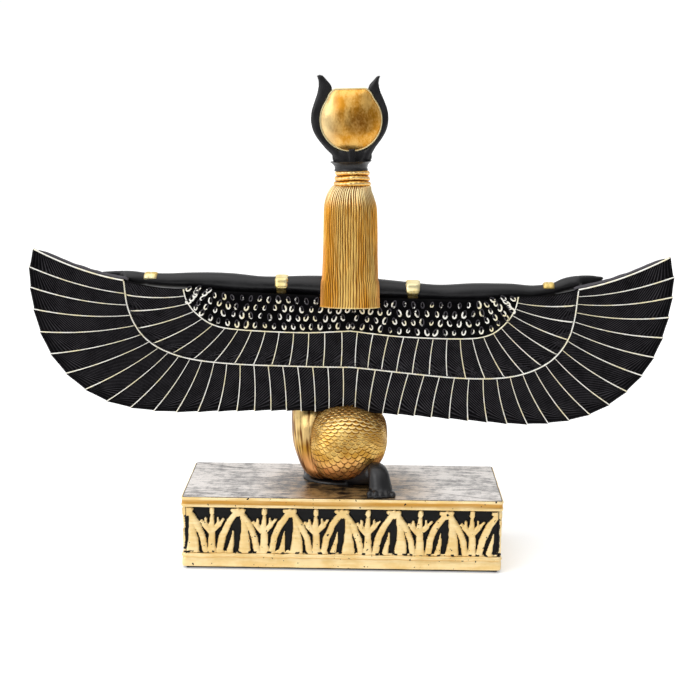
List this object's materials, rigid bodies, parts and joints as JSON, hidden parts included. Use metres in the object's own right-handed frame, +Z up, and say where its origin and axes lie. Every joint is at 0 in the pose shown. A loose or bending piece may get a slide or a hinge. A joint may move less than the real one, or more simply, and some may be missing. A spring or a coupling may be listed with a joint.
{
  "type": "isis statue",
  "caption": "Kneeling winged goddess with outstretched arms, long wig and horned sun disc, on a rectangular plinth with a lotus frieze.",
  "frame": {"origin": "on the ground below the figure's spine, in the middle of the whole piece's length and depth", "axes": "+Z up, the figure faces -Y, its left wing points to +X"},
  "size_m": [0.3032, 0.062, 0.2294],
  "materials": {
    "gold_paint": "brushed gold paint over black cast resin",
    "black_resin": "satin black cast resin, with gold paint on wig, dress, bands and feather edges"
  },
  "bodies": {
    "root": {"plinth": "gold_paint", "figure": "black_resin"}
  },
  "joints": []
}
